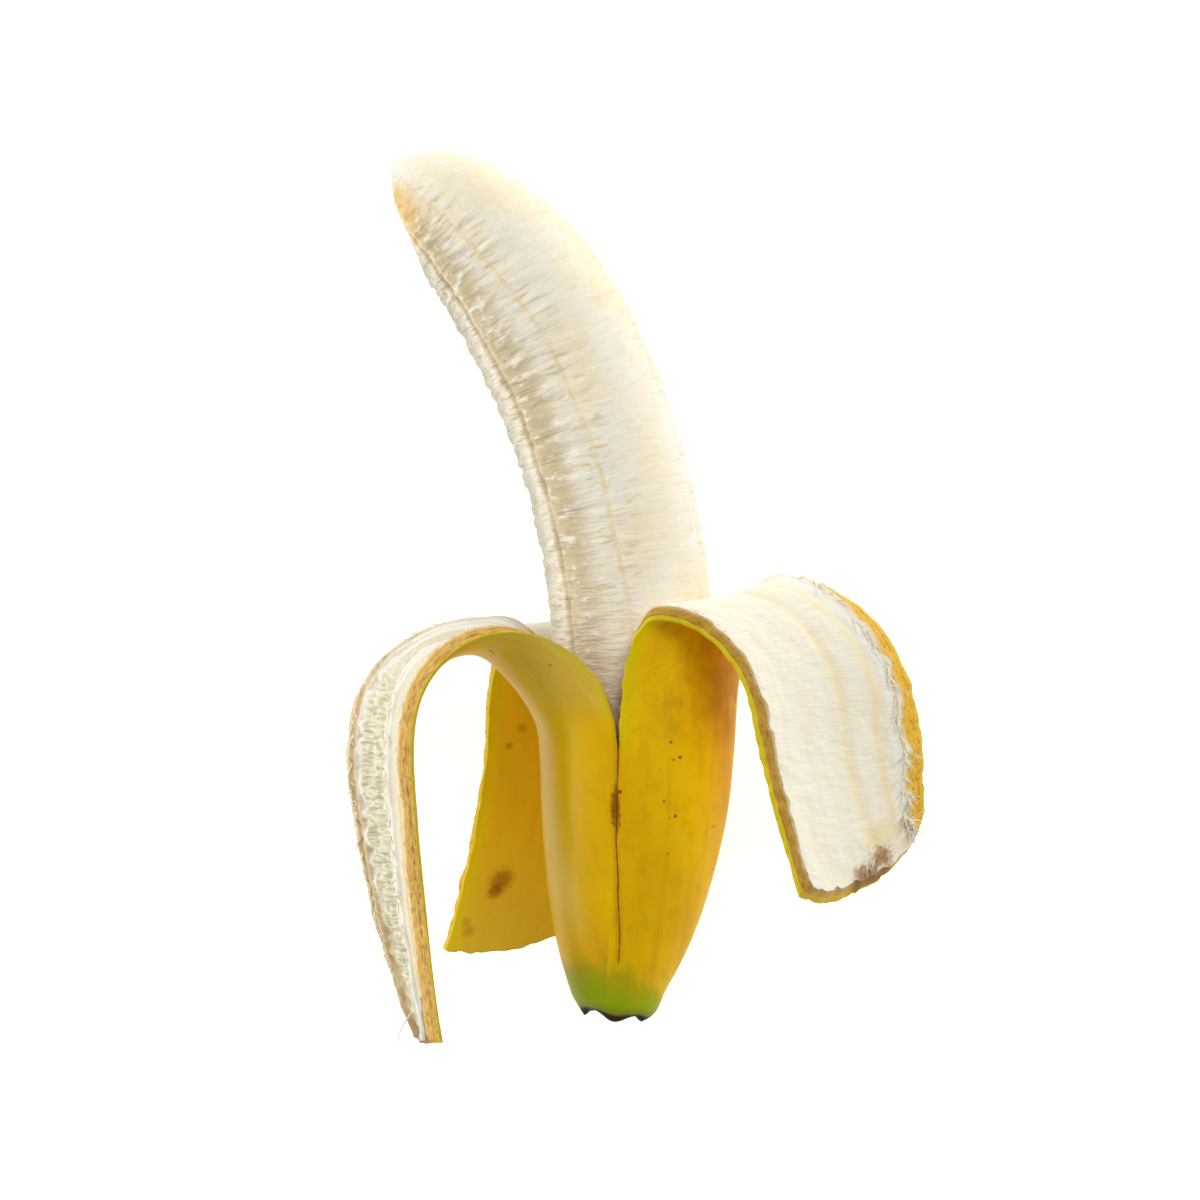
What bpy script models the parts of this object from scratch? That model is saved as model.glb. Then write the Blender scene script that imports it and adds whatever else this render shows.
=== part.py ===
"""Half-peeled banana, lying on its back.

The flesh stands bare out of a cup of peel. Above the cup the peel is torn into three strips of equal
width. The left and right strips arch out sideways, and the back strip is folded under the cup and lies
flat, so the fruit rests on that strip and on the underside of the flesh near its tip.

Metres, +Z up, +Y from the blossom end towards the tip. The origin is under the middle of the whole
fruit, on the surface that it rests on.
"""
import math
from collections import namedtuple

import bmesh
import bpy
from mathutils import Vector

# The fruit
FRUIT_LENGTH = 0.1865         # along its curved middle line, blossom end to tip
FLESH_RADIUS = 0.0161
FLESH_FOOT = 0.008            # height of the flesh's lower end above the blossom end
FLESH_TAPER_LENGTH = 0.055    # the flesh narrows over this length to its tip
TAPER_POWER = 2.7             # and these two powers make its tip blunt and round
TAPER_ROUNDNESS = 0.4
PEEL_WALL = 0.0030
PEEL_CLEARANCE = 0.0005       # air between flesh and peel
BACK_GAP = 0.0045             # air between the cup and the back strip folded under it
REST_CLEARANCE = 0.0006       # air under the flesh where it comes down to the surface
MOUTH = 0.057                 # height of the cup's mouth, where the tears end
BLOSSOM_END_OVERRUN = 0.003   # the cup's outline would close this far below the blossom end
CUP_CURVE = 1.8               # and these two powers shape its cone
CUP_ROUNDNESS = 0.53

# The middle line leans right at the blossom end, and its lean turns left faster and faster
FOOT_LEAN = math.radians(8)
TOTAL_TURN = math.radians(57)
TURN_POWER = 1.73
TIP_LEAN = 0.0045             # the tip sits this far to the left of the middle line

# The tears, as angles round the cup from its top line towards +X
TOP_TEAR = math.radians(-11)
STRIP_ANGLE = math.radians(120)

# Plain colours
SKIN_COLOR = (0.66, 0.42, 0.01)
SKIN_ROUGHNESS = 0.45
FLESH_COLOR = (0.83, 0.76, 0.62)
FLESH_ROUGHNESS = 0.6

# Mesh cage
STRIP_COLUMNS = 6
CUP_ROWS = 7
ARCH_ROWS = 8
FREE_ROWS = 6
CUP_ROW_POWER = 1.25          # cup rows lie closer together near the blossom end
FLESH_COLUMNS = 16
FLESH_ROWS = 17
FLESH_FIRST_ROW = 0.3         # the first and last rings stand this share of a row from the ends
FLESH_ROW_EASING = 0.75       # 1 would crowd the flesh rings fully towards its two ends
MIDDLE_LINE_STEPS = 60
FLATTEST_ARC = 0.02           # a strip's section is bent at least this much, in radians

# One line along a strip. It leaves the cup's mouth, rises to the crest of the fold, comes down at its
# span, and then runs along its free length. Spread is what it gains outward on the free length, side
# what it gains across the fold and end_side across the free length. The powers shape the curves.
Fold = namedtuple("Fold", "crest_out crest_up span rise_power fall_power free spread side end_side bend")

LEFT_TOP = Fold(0.0210, 0.0214, 0.0408, 2.0, 2.0, 0.0596, -0.0058, 0.0000, -0.0080, 1.3)
LEFT_MIDDLE = Fold(0.0140, 0.0165, 0.0280, 1.3, 2.2, 0.0612, -0.0078, -0.0075, 0.0035, 1.8)
LEFT_LOW = Fold(0.0110, 0.0226, 0.0427, 2.0, 2.2, 0.0615, -0.0158, -0.0045, 0.0145, 1.8)

RIGHT_TOP = Fold(0.0075, 0.0238, 0.0270, 2.2, 2.0, 0.0313, 0.0085, 0.0037, -0.0010, 1.1)
RIGHT_MIDDLE = Fold(0.0045, 0.0266, 0.0228, 2.4, 2.0, 0.0315, 0.0090, -0.0047, -0.0010, 1.1)
RIGHT_LOW = Fold(0.0140, 0.0315, 0.0381, 2.0, 1.9, 0.0150, 0.0004, 0.0083, 0.0000, 1.5)

# The back strip folds down instead of out, until it lies flat, so its spans follow from the cup's height
BackFold = namedtuple("BackFold", "crest_up free side end_side rise_power")

BACK_RIGHT = BackFold(0.0235, 0.0330, -0.0080, -0.0140, 1.6)
BACK_MIDDLE = BackFold(0.0220, 0.0430, -0.0135, -0.0125, 1.5)
BACK_LEFT = BackFold(0.0200, 0.0440, -0.0150, -0.0085, 1.6)
BACK_CREST_SHARE = 0.5        # the crest stands this far down the drop to the surface
BACK_FALL_POWER = 3.0
BACK_BEND = 1.5

CUP_RADIUS = FLESH_RADIUS + PEEL_CLEARANCE + PEEL_WALL
CUP_HEIGHT = PEEL_WALL + BACK_GAP + CUP_RADIUS
REST_BEFORE_TIP = 0.022       # the flesh touches the surface this far before its tip
DIP_ABOVE_MOUTH = 0.012       # and the middle line starts down this far above the mouth
REST_STATION = FRUIT_LENGTH - REST_BEFORE_TIP
DIP_START = MOUTH + DIP_ABOVE_MOUTH


def flesh_radius(station):
    """Radius of the flesh at a length along the middle line."""
    taper_start = FRUIT_LENGTH - FLESH_TAPER_LENGTH
    if station < MOUTH:
        share = (MOUTH - station) / (MOUTH - FLESH_FOOT)
        return FLESH_RADIUS * max(0.0, 1 - share ** 2) ** 0.5
    if station > taper_start:
        share = (station - taper_start) / FLESH_TAPER_LENGTH
        return FLESH_RADIUS * max(0.0, 1 - share ** TAPER_POWER) ** TAPER_ROUNDNESS
    return FLESH_RADIUS


def cup_radius(station):
    """Outer radius of the cup, which narrows in a soft cone towards the blossom end."""
    share = (MOUTH - station) / (MOUTH + BLOSSOM_END_OVERRUN)
    return CUP_RADIUS * (1 - share ** CUP_CURVE) ** CUP_ROUNDNESS


def middle_line(station):
    """Point on the fruit's middle line, and the direction to its right there."""
    step = station / MIDDLE_LINE_STEPS
    across = 0.0
    along = 0.0
    for index in range(MIDDLE_LINE_STEPS):
        middle = (index + 0.5) * step
        lean = FOOT_LEAN - TOTAL_TURN * (middle / FRUIT_LENGTH) ** TURN_POWER
        across += math.sin(lean) * step
        along += math.cos(lean) * step
    lean = FOOT_LEAN - TOTAL_TURN * (station / FRUIT_LENGTH) ** TURN_POWER
    share = min(1.0, max(0.0, (station - DIP_START) / (REST_STATION - DIP_START)))
    ease = share * share * (3 - 2 * share)
    rest_height = flesh_radius(REST_STATION) + REST_CLEARANCE
    height = CUP_HEIGHT + (rest_height - CUP_HEIGHT) * ease
    right = Vector((math.cos(lean), -math.sin(lean), 0))
    tip_share = max(0.0, 1 - (FRUIT_LENGTH - station) / FLESH_TAPER_LENGTH)
    return Vector((across, along, height)) - right * TIP_LEAN * tip_share ** 2, right


def ring(station, radius, angles):
    """Points round the middle line at the given angles from the top."""
    centre, right = middle_line(station)
    up = Vector((0, 0, 1))
    return [centre + radius * (math.sin(a) * right + math.cos(a) * up) for a in angles]


def strip_line(root, fold, out, side):
    """Points of one line along a strip, row by row, from just above the mouth to its end."""
    up = Vector((0, 1, 0))
    points = []
    for row in range(1, ARCH_ROWS + 1):
        turn = math.pi * row / ARCH_ROWS
        swing = (1 - math.cos(turn)) / 2
        rising = turn <= math.pi / 2
        power = 2 / (fold.rise_power if rising else fold.fall_power)
        level = abs(math.cos(turn)) ** power
        height = fold.crest_up * max(0.0, math.sin(turn)) ** power
        if rising:
            reach = fold.crest_out * (1 - level)
        else:
            reach = fold.crest_out + (fold.span - fold.crest_out) * level
        points.append(root + out * reach + up * height + side * fold.side * swing)
    for row in range(1, FREE_ROWS + 1):
        share = row / FREE_ROWS
        bend = share ** fold.bend
        reach = fold.span + fold.spread * bend
        shift = fold.side + fold.end_side * bend
        points.append(root + out * reach - up * fold.free * share + side * shift)
    return points


def section(first, middle, last):
    """Points across a strip on the round arc through its two edges and its middle."""
    centre = (first + last) / 2
    half = (last - first) / 2
    bow = middle - centre
    angle = max(FLATTEST_ARC, 2 * math.atan2(bow.length, half.length))
    points = []
    for column in range(STRIP_COLUMNS + 1):
        turn = angle * (2 * column / STRIP_COLUMNS - 1)
        level = (math.cos(turn) - math.cos(angle)) / (1 - math.cos(angle))
        points.append(centre + half * math.sin(turn) / math.sin(angle) + bow * level)
    return points


def laid_flat(fold, root):
    """The fold of a back strip line that drops from its root until the strip's white side is at z = 0."""
    drop = root.z - PEEL_WALL
    return Fold(
        crest_out=BACK_CREST_SHARE * drop,
        crest_up=fold.crest_up,
        span=drop,
        rise_power=fold.rise_power,
        fall_power=BACK_FALL_POWER,
        free=fold.free,
        spread=0.0,
        side=fold.side,
        end_side=fold.end_side,
        bend=BACK_BEND,
    )


def add_object(name, mesh_builder, material, group, parent):
    """Make one named object from a bmesh."""
    mesh = bpy.data.meshes.new(name)
    mesh_builder.to_mesh(mesh)
    mesh_builder.free()
    mesh.shade_smooth()
    mesh.materials.append(material)
    piece = bpy.data.objects.new(name, mesh)
    group.objects.link(piece)
    piece.parent = parent
    return piece


def add_subdivision(piece):
    """One smoothing level, the same for viewport and render."""
    soften = piece.modifiers.new("soften", "SUBSURF")
    soften.levels = 1
    soften.render_levels = 1


def make_material(name, color, roughness):
    """Plain Principled material."""
    material = bpy.data.materials.new(name)
    material.use_nodes = True
    shader = material.node_tree.nodes["Principled BSDF"]
    shader.inputs["Base Color"].default_value = (*color, 1)
    shader.inputs["Roughness"].default_value = roughness
    shader.inputs["Metallic"].default_value = 0
    return material


def join_rows(build, lower, upper, closed):
    """Faces between two rows of vertices."""
    count = len(lower) if closed else len(lower) - 1
    for index in range(count):
        after = (index + 1) % len(lower)
        build.faces.new((lower[index], lower[after], upper[after], upper[index]))


def make_peel(group, parent):
    """Cup and strips as one open skin, which Solidify turns into a wall inward of the skin."""
    build = bmesh.new()
    columns = 3 * STRIP_COLUMNS
    angles = [TOP_TEAR + STRIP_ANGLE * k / STRIP_COLUMNS for k in range(columns)]
    swell = 1 / math.cos(math.pi / columns)
    rows = []
    for row in range(CUP_ROWS + 1):
        station = MOUTH * (row / CUP_ROWS) ** CUP_ROW_POWER
        points = ring(station, cup_radius(station) * swell, angles)
        rows.append([build.verts.new(point) for point in points])
    build.faces.new(reversed(rows[0]))
    for lower, upper in zip(rows, rows[1:]):
        join_rows(build, lower, upper, closed=True)

    mouth = rows[-1]
    right = Vector((1, 0, 0))
    down = Vector((0, 0, -1))
    top = Vector((0, 0, 1))
    strips = (
        (RIGHT_TOP, RIGHT_MIDDLE, RIGHT_LOW, right, top),
        (BACK_RIGHT, BACK_MIDDLE, BACK_LEFT, down, right),
        (LEFT_LOW, LEFT_MIDDLE, LEFT_TOP, -right, top),
    )
    for number, (first_fold, middle_fold, last_fold, out, side) in enumerate(strips):
        start = number * STRIP_COLUMNS
        root = [mouth[(start + k) % columns] for k in range(STRIP_COLUMNS + 1)]
        anchors = (root[0].co, root[STRIP_COLUMNS // 2].co, root[-1].co)
        lines = []
        for fold, anchor in zip((first_fold, middle_fold, last_fold), anchors):
            if out is down:
                fold = laid_flat(fold, anchor)
            lines.append(strip_line(anchor, fold, out, side))
        lower = root
        for first, middle, last in zip(*lines):
            upper = [build.verts.new(point) for point in section(first, middle, last)]
            join_rows(build, lower, upper, closed=False)
            lower = upper

    skin = make_material("peel_skin", SKIN_COLOR, SKIN_ROUGHNESS)
    peel = add_object("peel", build, skin, group, parent)
    add_subdivision(peel)
    wall = peel.modifiers.new("wall", "SOLIDIFY")
    wall.thickness = PEEL_WALL
    wall.offset = -1
    return peel


def make_flesh(group, parent):
    """Flesh as one loft of rings along the middle line, closed at both ends."""
    build = bmesh.new()
    angles = [2 * math.pi * k / FLESH_COLUMNS for k in range(FLESH_COLUMNS)]
    swell = 1 / math.cos(math.pi / FLESH_COLUMNS)
    rows = []
    for row in range(FLESH_ROWS):
        share = (row + FLESH_FIRST_ROW) / (FLESH_ROWS - 1 + 2 * FLESH_FIRST_ROW)
        eased = share - FLESH_ROW_EASING * math.sin(2 * math.pi * share) / (2 * math.pi)
        station = FLESH_FOOT + (FRUIT_LENGTH - FLESH_FOOT) * eased
        points = ring(station, flesh_radius(station) * swell, angles)
        rows.append([build.verts.new(point) for point in points])
    build.faces.new(reversed(rows[0]))
    build.faces.new(rows[-1])
    for lower, upper in zip(rows, rows[1:]):
        join_rows(build, lower, upper, closed=True)
    pulp = make_material("flesh", FLESH_COLOR, FLESH_ROUGHNESS)
    flesh = add_object("flesh", build, pulp, group, parent)
    add_subdivision(flesh)
    return flesh


def centre_on_surface(pieces, parent):
    """Move the whole fruit so that the origin is under its middle, on the surface below it."""
    bpy.context.view_layer.update()
    graph = bpy.context.evaluated_depsgraph_get()
    points = []
    for piece in pieces:
        shape = piece.evaluated_get(graph)
        points += [vertex.co.copy() for vertex in shape.data.vertices]
    low = [min(point[axis] for point in points) for axis in range(3)]
    high = [max(point[axis] for point in points) for axis in range(3)]
    parent.location = (-(low[0] + high[0]) / 2, -(low[1] + high[1]) / 2, -low[2])


for old in list(bpy.data.objects):
    bpy.data.objects.remove(old)

collection = bpy.data.collections.new("half_peeled_banana")
bpy.context.scene.collection.children.link(collection)
fruit = bpy.data.objects.new("fruit_place", None)
collection.objects.link(fruit)
parts = [make_peel(collection, fruit), make_flesh(collection, fruit)]
centre_on_surface(parts, fruit)
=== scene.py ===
"""Half-peeled banana lying on its back: the looks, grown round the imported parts."""
import math

import bpy
import numpy as np
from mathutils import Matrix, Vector


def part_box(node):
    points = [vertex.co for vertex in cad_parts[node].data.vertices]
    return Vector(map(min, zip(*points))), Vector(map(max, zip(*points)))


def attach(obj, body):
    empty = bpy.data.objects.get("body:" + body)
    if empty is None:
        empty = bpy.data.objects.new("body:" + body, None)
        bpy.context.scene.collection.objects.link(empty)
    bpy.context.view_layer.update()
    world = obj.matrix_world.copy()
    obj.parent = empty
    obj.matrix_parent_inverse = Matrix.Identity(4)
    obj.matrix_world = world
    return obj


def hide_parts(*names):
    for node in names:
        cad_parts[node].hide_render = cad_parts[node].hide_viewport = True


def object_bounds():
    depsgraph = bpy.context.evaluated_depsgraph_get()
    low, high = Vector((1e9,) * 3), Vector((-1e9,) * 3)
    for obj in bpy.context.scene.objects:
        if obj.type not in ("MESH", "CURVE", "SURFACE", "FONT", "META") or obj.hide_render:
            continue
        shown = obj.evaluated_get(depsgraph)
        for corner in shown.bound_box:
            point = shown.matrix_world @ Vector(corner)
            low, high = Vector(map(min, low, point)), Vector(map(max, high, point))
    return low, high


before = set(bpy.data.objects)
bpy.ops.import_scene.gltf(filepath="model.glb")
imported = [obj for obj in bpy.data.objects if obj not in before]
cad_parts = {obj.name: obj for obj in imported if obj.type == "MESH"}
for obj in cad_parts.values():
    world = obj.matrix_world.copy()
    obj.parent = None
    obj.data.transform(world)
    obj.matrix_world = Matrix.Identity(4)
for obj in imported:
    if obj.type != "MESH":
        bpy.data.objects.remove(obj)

cad_low, cad_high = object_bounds()

# ---------------------------------------------------------------------------------------------------
# Peel: one leathery wall, waxy yellow skin outside and soft white pith inside. Its lower part is still
# a closed cup round the flesh. Above the mouth it is torn into three strips: two arch out to the
# sides, and the third is folded under the cup and lies flat on the table.

FRUIT_LENGTH = 0.1865  # along its curved middle line
FLESH_RADIUS = 0.0161
FLESH_FOOT = 0.008
FLESH_TAPER_LENGTH = 0.055
TAPER_POWER = 2.7
TAPER_ROUNDNESS = 0.4
REST_STATION = FRUIT_LENGTH - 0.022
REST_CLEARANCE = 0.0006
FOOT_LEAN = math.radians(8)
TOTAL_TURN = math.radians(57)
TURN_POWER = 1.73
TIP_LEAN = 0.0045
MOUTH = 0.057  # height of the cup's mouth on the middle line
DIP_START = MOUTH + 0.012
PEEL_WALL = 0.0030
PEEL_CLEARANCE = 0.0005
BACK_GAP = 0.0045
CUP_RADIUS = FLESH_RADIUS + PEEL_CLEARANCE + PEEL_WALL
CUP_HEIGHT = PEEL_WALL + BACK_GAP + CUP_RADIUS
BLOSSOM_END_OVERRUN = 0.003
CUP_CURVE = 1.8
CUP_ROUNDNESS = 0.53
CUP_ROW_POWER = 1.25
TOP_TEAR = math.radians(-11)
STRIP_ANGLE = math.radians(120)
UP = np.array((0.0, 0.0, 1.0))
RIGHT, BACK, LEFT = 0, 1, 2  # the three strips, counted round the cup from its top tear

STRIP_COLUMNS = 6  # lines along a strip, as its form was drawn
CUP_ROWS = 7
ARCH_ROWS = 8
FREE_ROWS = 6
SKIN_COLUMNS = 13  # fine columns and rows between two drawn ones
SKIN_ROWS = 14
WALL_LAYERS = 7  # fine rows through the torn edge of the wall
TEAR_ROW = CUP_ROWS * SKIN_ROWS - 4
OPENING_ROWS = 12  # the torn edges come on over these rows
LINE_STEPS = 400

# One line along a strip: crest out, crest up, span, rise power, fall power, free length, spread, side,
# end side, bend. Each strip has one for its first edge, its middle and its last edge.
RIGHT_FOLDS = (
    (0.0075, 0.0238, 0.0270, 2.2, 2.0, 0.0313, 0.0085, 0.0037, -0.0010, 1.1),
    (0.0045, 0.0266, 0.0228, 2.4, 2.0, 0.0315, 0.0090, -0.0047, -0.0010, 1.1),
    (0.0140, 0.0315, 0.0381, 2.0, 1.9, 0.0150, 0.0004, 0.0083, 0.0000, 1.5),
)
LEFT_FOLDS = (
    (0.0110, 0.0226, 0.0427, 2.0, 2.2, 0.0615, -0.0158, -0.0045, 0.0145, 1.8),
    (0.0140, 0.0165, 0.0280, 1.3, 2.2, 0.0612, -0.0078, -0.0075, 0.0035, 1.8),
    (0.0210, 0.0214, 0.0408, 2.0, 2.0, 0.0596, -0.0058, 0.0000, -0.0080, 1.3),
)
# The back strip folds down to the table, so its spans follow from the height of its root: crest up,
# free length, side, end side, rise power
BACK_FOLDS = (
    (0.0235, 0.0330, -0.0080, -0.0140, 1.6),
    (0.0220, 0.0430, -0.0135, -0.0125, 1.5),
    (0.0200, 0.0440, -0.0150, -0.0085, 1.6),
)
BACK_CREST_SHARE = 0.5
BACK_FALL_POWER = 3.0
BACK_BEND = 1.5

# Torn edges, first and last of each strip: how far the pith stops short of the skin, and how ragged
PITH_SHORT = ((0.0014, 0.0042), (0.0005, -0.0007), (0.0020, 0.0030))
RAGGED = ((0.0006, 0.0009), (0.0005, 0.0004), (0.0005, 0.00025))
PITH_SHORT_AT_END = (0.0022, 0.0005, 0.0012)
END_TRIM = (0.0022, 0.0, 0.0)  # the middle of a strip's end is torn back this far
SKIN_RAGGED = (0.00025, 0.0002, 0.0002)
PITH_STEP = 0.0022  # length of the tears in the pith's edge, and in the skin's
SKIN_STEP = 0.0019
EDGE_FIBRES = 0.00018  # height of the fibres in a torn edge, and in a strip's end
END_FIBRES = 0.0002
EDGE_BULGE = 0.0003

# Relief of the skin, the pith and its open cells: width and length of its grain, height, and seed
SKIN_RELIEF = ((0.014, 0.030, 0.00022, 51), (0.003, 0.005, 0.00005, 54))
PITH_RELIEF = ((0.006, 0.011, 0.0003, 47), (0.0016, 0.0022, 0.00010, 37))
CELL_RELIEF = ((0.0032, 0.0010, 1.0, 41), (0.0012, 0.0007, 0.6, 44))

# Bands along the pith: place across the strip from 0 to 1, width, height in metres, and what it is
PITH_BANDS = (
    ((0.57, 0.0014, -0.0003, "line"), (0.79, 0.0013, -0.0003, "line"),
     (0.90, 0.0012, 0.0005, "thread")),
    ((0.30, 0.0010, -0.0004, "line"), (0.55, 0.0012, 0.0004, "thread"), (0.78, 0.0010, -0.0004, "line")),
    ((0.09, 0.0009, 0.0008, "thread"), (0.14, 0.0007, 0.0006, "thread"), (0.32, 0.0008, 0.0004, "line"),
     (0.46, 0.0007, 0.0007, "thread"), (0.52, 0.0006, 0.0008, "thread"), (0.80, 0.0012, 0.0003, "line")),
)
SPONGY = ((0.0, 0.0), (0.0, 0.0), (0.12, 0.48))  # from where to where a strip's pith is open cells
SPONGE_DEPTH = 0.0007
SPONGE_START = MOUTH + 0.025  # they open up from here to there along it
SPONGE_FULL = MOUTH + 0.045
CLOSED_DEPTH = 0.00008  # depth of the cells elsewhere

# The tear goes on down the cup as a closed seam, which leaves the line of the strips near its end
SEAM_END = 0.0138
SEAM_DRIFT = 0.0022
SEAM_DRIFT_START = 0.047
SEAM_WANDER = 0.00012
SEAM_GROOVE = 0.0001
FAR_FROM_SEAM = 0.05  # stands for the back strip, which the seam doesn't touch
GREEN_TOP = 0.021  # the green of the blossom end reaches this high at the seam,
GREEN_SLOPES = (0.8, 0.3)  # and falls away to its right and left
PAINTED_HIGHLIGHT = 0.0200  # a pale painted highlight lies along the cup, this far across the left strip
PAINTED_HIGHLIGHT_HALF_WIDTH = 0.0075
SMEAR = 0.0450  # a brown smear sits on the seam here
SMEAR_LENGTH = 0.0046

# Scars on the skin: across, along, strip, radius, and how dark from 0 to 1
SCARS = (
    (0.0005, 0.0500, RIGHT, 0.00040, 1.0),
    (0.0104, 0.0606, RIGHT, 0.00030, 0.8),
    (0.0125, 0.0575, RIGHT, 0.00034, 0.9),
    (0.0111, 0.0570, RIGHT, 0.00022, 0.8),
    (0.0094, 0.0485, RIGHT, 0.00028, 0.8),
    (0.0119, 0.0456, RIGHT, 0.00034, 0.9),
    (0.0107, 0.0452, RIGHT, 0.00020, 0.6),
    (0.0220, 0.0437, RIGHT, 0.00024, 0.8),
    (0.0228, 0.0439, RIGHT, 0.00020, 0.8),
    (0.0107, 0.0379, RIGHT, 0.00022, 0.7),
    (0.0256, 0.0352, RIGHT, 0.00026, 0.7),
    (0.0230, 0.0305, RIGHT, 0.00026, 0.7),
    (0.0300, 0.0690, RIGHT, 0.0012, 0.35),
    (0.0316, 0.1372, BACK, 0.0021, 0.60),
    (0.0322, 0.1395, BACK, 0.0014, 0.60),
    (0.0340, 0.1063, BACK, 0.0009, 0.35),
    (0.0363, 0.1101, BACK, 0.0007, 0.45),
    (0.0350, 0.1481, BACK, 0.0012, 0.30),
    (0.0360, 0.1462, BACK, 0.0008, 0.30),
    (0.0308, 0.0785, LEFT, 0.00030, 0.8),
    (0.0312, 0.0793, LEFT, 0.00036, 0.8),
    (0.0379, 0.0714, LEFT, 0.00030, 0.5),
    (0.0150, 0.0560, LEFT, 0.00030, 0.6),
    (0.0090, 0.0330, LEFT, 0.00035, 0.6),
    (0.0200, 0.1200, LEFT, 0.0010, 0.4),
)

# Old patches of the pith near the right strip's end: across, along, strip, radius, and colour
YELLOWED = (0.0255, 0.1470, RIGHT, 0.0050)
BRUISES = (
    (0.0247, 0.1530, RIGHT, 0.0030, (158, 100, 26)),
    (0.0182, 0.1549, RIGHT, 0.0022, (158, 100, 26)),
    (0.0212, 0.1552, RIGHT, 0.0022, (140, 96, 30)),
)

# Lobes of the blossom end, where the dry flower fell off: angle round the cup, reach, half width
LOBES = (
    (math.radians(-66), 0.0017, 0.22),
    (math.radians(4), 0.0018, 0.42),
    (math.radians(58), 0.0012, 0.20),
    (math.radians(112), 0.0012, 0.35),
    (math.radians(176), 0.0014, 0.40),
    (math.radians(-122), 0.0012, 0.35),
)
LOBE_LENGTH = 0.0055  # the lobes begin this far up the cup
NOTCH = 0.0022  # and between them the rim stands this much higher
FLARE = 0.0012  # the cup's end widens by this much, and by more or less towards +X
FLARE_RIGHTWARD = 0.0007
FLARE_LENGTH = 0.011
END_RINGS = 12
END_HOLLOW = 0.0030


def flesh_radius(station):
    """Radius of the flesh at lengths along the middle line."""
    foot = np.clip((MOUTH - station) / (MOUTH - FLESH_FOOT), 0, 1)
    tip = np.clip((station - FRUIT_LENGTH + FLESH_TAPER_LENGTH) / FLESH_TAPER_LENGTH, 0, 1)
    return FLESH_RADIUS * (1 - foot ** 2) ** 0.5 * (1 - tip ** TAPER_POWER) ** TAPER_ROUNDNESS


def lean(station):
    """How far the middle line leans to the right of +Y."""
    return FOOT_LEAN - TOTAL_TURN * (station / FRUIT_LENGTH) ** TURN_POWER


def middle_line(station):
    """Points on the fruit's middle line, and the directions to its right there."""
    step = FRUIT_LENGTH / LINE_STEPS
    middles = (np.arange(LINE_STEPS) + 0.5) * step
    ends = np.arange(LINE_STEPS + 1) * step
    across = np.concatenate(([0], np.cumsum(np.sin(lean(middles)) * step)))
    along = np.concatenate(([0], np.cumsum(np.cos(lean(middles)) * step)))
    share = np.clip((station - DIP_START) / (REST_STATION - DIP_START), 0, 1)
    rest_height = flesh_radius(REST_STATION) + REST_CLEARANCE
    height = CUP_HEIGHT + (rest_height - CUP_HEIGHT) * share * share * (3 - 2 * share)
    centre = np.stack((np.interp(station, ends, across), np.interp(station, ends, along), height), -1)
    right = np.stack((np.cos(lean(station)), -np.sin(lean(station)), 0 * station), -1)
    tip = np.clip(1 - (FRUIT_LENGTH - station) / FLESH_TAPER_LENGTH, 0, 1)
    return centre - right * (TIP_LEAN * tip ** 2)[..., None], right


def ring(station, radius, angle):
    """Points round the middle line, at angles from its top towards its right."""
    centre, right = middle_line(station)
    return centre + radius[..., None] * (np.sin(angle)[..., None] * right + np.cos(angle)[..., None] * UP)


def cup_radius(station):
    """Outer radius of the cup, which narrows in a soft cone towards the blossom end."""
    share = (MOUTH - station) / (MOUTH + BLOSSOM_END_OVERRUN)
    return CUP_RADIUS * (1 - share ** CUP_CURVE) ** CUP_ROUNDNESS


def strip_line(root, fold, out, side):
    """Points of one line along a strip, from just above the mouth to its end."""
    crest_out, crest_up, span, rise_power, fall_power, free, spread, sideways, end_side, bend = fold
    upward = np.array((0.0, 1.0, 0.0))
    points = []
    for row in range(1, ARCH_ROWS + 1):
        turn = math.pi * row / ARCH_ROWS
        swing = (1 - math.cos(turn)) / 2
        rising = turn <= math.pi / 2
        power = 2 / (rise_power if rising else fall_power)
        level = abs(math.cos(turn)) ** power
        height = crest_up * max(0.0, math.sin(turn)) ** power
        reach = crest_out * (1 - level) if rising else crest_out + (span - crest_out) * level
        points.append(root + out * reach + upward * height + side * sideways * swing)
    for row in range(1, FREE_ROWS + 1):
        share = row / FREE_ROWS
        gain = share ** bend
        shift = sideways + end_side * gain
        points.append(root + out * (span + spread * gain) - upward * free * share + side * shift)
    return np.array(points)


def section(first, middle, last):
    """Points across a strip on the round arc through its two edges and its middle."""
    half = (last - first) / 2
    bow = middle - (first + last) / 2
    angle = max(0.02, 2 * math.atan2(np.linalg.norm(bow), np.linalg.norm(half)))
    turn = angle * np.linspace(-1, 1, STRIP_COLUMNS + 1)[:, None]
    level = (np.cos(turn) - math.cos(angle)) / (1 - math.cos(angle))
    return (first + last) / 2 + half * np.sin(turn) / math.sin(angle) + bow * level


def unit(ways):
    """The same directions with a length of one."""
    return ways / np.linalg.norm(ways, axis=-1, keepdims=True)


def with_spares(grid):
    """A drawn grid with one spare row at each end, straight on from the last two."""
    return np.concatenate((2 * grid[:1] - grid[1:2], grid, 2 * grid[-1:] - grid[-2:-1]))


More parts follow.
